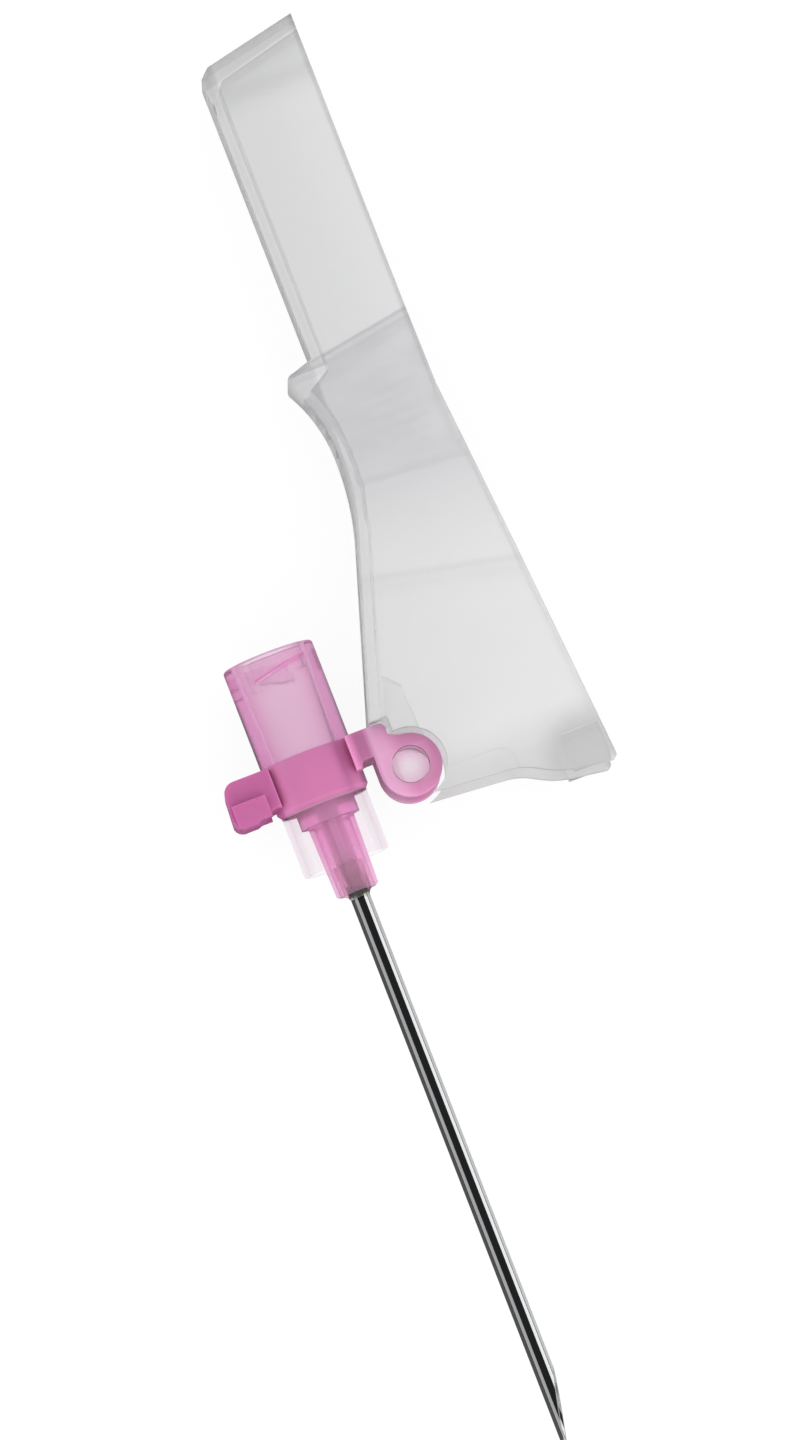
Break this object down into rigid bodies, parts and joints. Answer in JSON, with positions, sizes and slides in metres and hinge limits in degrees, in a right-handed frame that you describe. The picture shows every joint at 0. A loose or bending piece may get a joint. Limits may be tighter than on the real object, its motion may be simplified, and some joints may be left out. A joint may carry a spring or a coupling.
{
  "type": "safety hypodermic needle",
  "caption": "Hypodermic needle with a female luer hub, a steel cannula and a channel-shaped safety shield hinged on a collar, which swings over the needle and locks.",
  "frame": {"origin": "centre of the mouth of the luer socket, on the needle's axis", "axes": "+X along the needle towards its point, +Y towards the hinge and the open shield, +Z out of the flat side of the shield that faces up as it lies"},
  "size_m": [0.0916, 0.024, 0.0082],
  "materials": {
    "hub_plastic": "tinted translucent polypropylene",
    "steel": "drawn and polished stainless tube",
    "epoxy": "clear cured adhesive",
    "collar_plastic": "tinted polypropylene",
    "shield_plastic": "natural milky polypropylene"
  },
  "bodies": {
    "needle": {"hub": "hub_plastic", "cannula": "steel", "adhesive_bead": "epoxy", "hinge_collar": "collar_plastic"},
    "shield": {"shield": "shield_plastic"}
  },
  "joints": [
    {"name": "shield_hinge", "type": "hinge", "parent": "needle", "child": "shield", "pos_m": [0.0099, 0.00587, 0], "axis": [0, 0, -1], "range_deg": [0, 180]}
  ]
}
